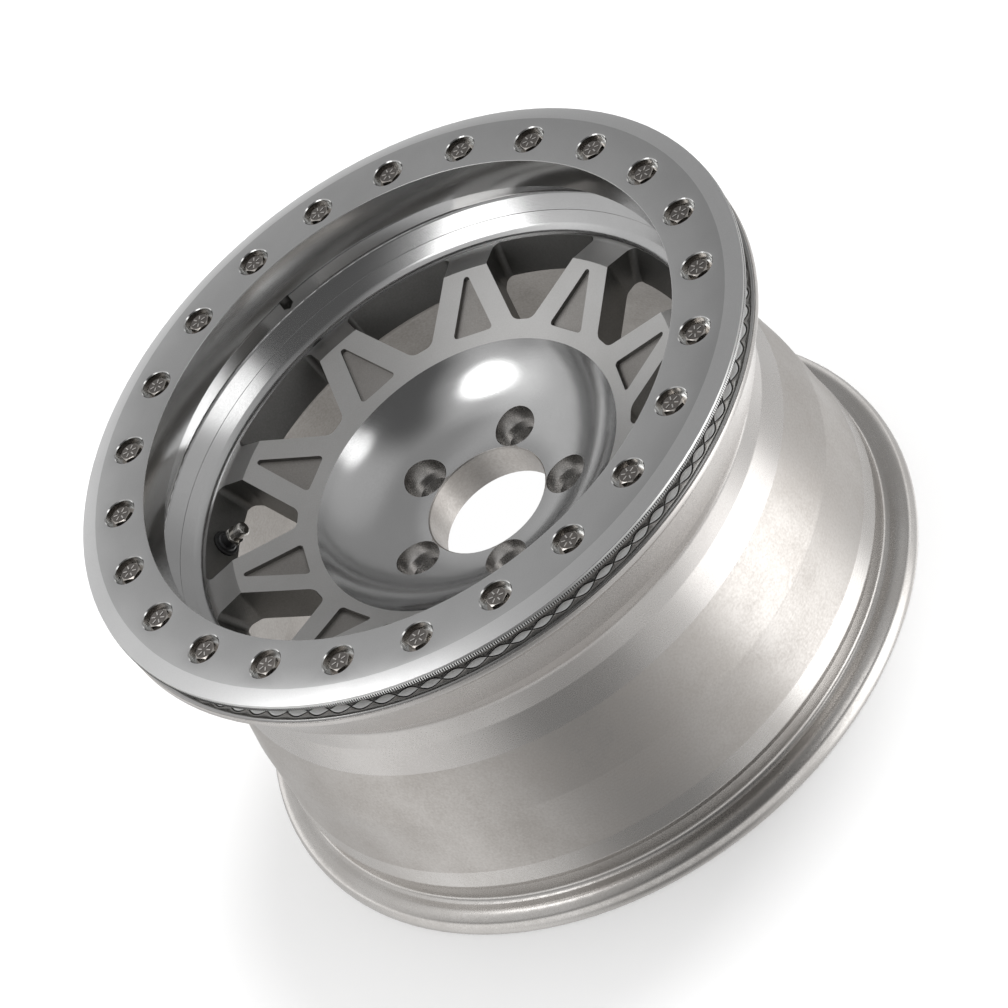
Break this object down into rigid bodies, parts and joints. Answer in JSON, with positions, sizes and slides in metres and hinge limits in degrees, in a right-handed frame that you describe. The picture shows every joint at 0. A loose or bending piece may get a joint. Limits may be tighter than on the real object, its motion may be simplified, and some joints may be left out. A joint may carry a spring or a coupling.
{
  "type": "beadlock car wheel",
  "caption": "Machined aluminium beadlock car wheel with a bolted outer clamp ring, deep front lip, spoked disc, hub with nut seats and a stem valve.",
  "frame": {"origin": "centre of the hub's mounting face, on the wheel's axis", "axes": "+Z along the wheel's axis, outboard towards the clamp ring; +X through the first clamp bolt"},
  "size_m": [0.4711, 0.4712, 0.253],
  "materials": {
    "wheel": "machined and part polished",
    "ring": "satin, fine grain",
    "bolt": "nickel plated",
    "washer": "zinc plated",
    "black_metal": "black anodised",
    "bright_metal": "bright nickel",
    "brass": "turned",
    "rubber": "matt black"
  },
  "bodies": {
    "wheel": {"wheel_body": "wheel", "beadlock_ring": "ring", "bolt_01": "bolt", "bolt_02": "bolt", "bolt_03": "bolt", "bolt_04": "bolt", "bolt_05": "bolt", "bolt_06": "bolt", "bolt_07": "bolt", "bolt_08": "bolt", "bolt_09": "bolt", "bolt_10": "bolt", "bolt_11": "bolt", "bolt_12": "bolt", "bolt_13": "bolt", "bolt_14": "bolt", "bolt_15": "bolt", "bolt_16": "bolt", "bolt_17": "bolt", "bolt_18": "bolt", "bolt_19": "bolt", "bolt_20": "bolt", "bolt_21": "bolt", "bolt_22": "bolt", "bolt_23": "bolt", "bolt_24": "bolt", "washer_01": "washer", "washer_02": "washer", "washer_03": "washer", "washer_04": "washer", "washer_05": "washer", "washer_06": "washer", "washer_07": "washer", "washer_08": "washer", "washer_09": "washer", "washer_10": "washer", "washer_11": "washer", "washer_12": "washer", "washer_13": "washer", "washer_14": "washer", "washer_15": "washer", "washer_16": "washer", "washer_17": "washer", "washer_18": "washer", "washer_19": "washer", "washer_20": "washer", "washer_21": "washer", "washer_22": "washer", "washer_23": "washer", "washer_24": "washer", "valve_stem": "bright_metal", "valve_bush": "rubber", "valve_seal": "rubber", "valve_washer": "black_metal", "valve_sleeve": "black_metal", "valve_nut": "bright_metal", "valve_core": "brass"},
    "cap": {"valve_cap": "bright_metal", "cap_seal": "rubber"}
  },
  "joints": [
    {"name": "valve_cap_lift", "type": "slide", "parent": "wheel", "child": "cap", "axis": [0.3395, -0.8403, 0.4226], "range_m": [0, 0.01]}
  ]
}
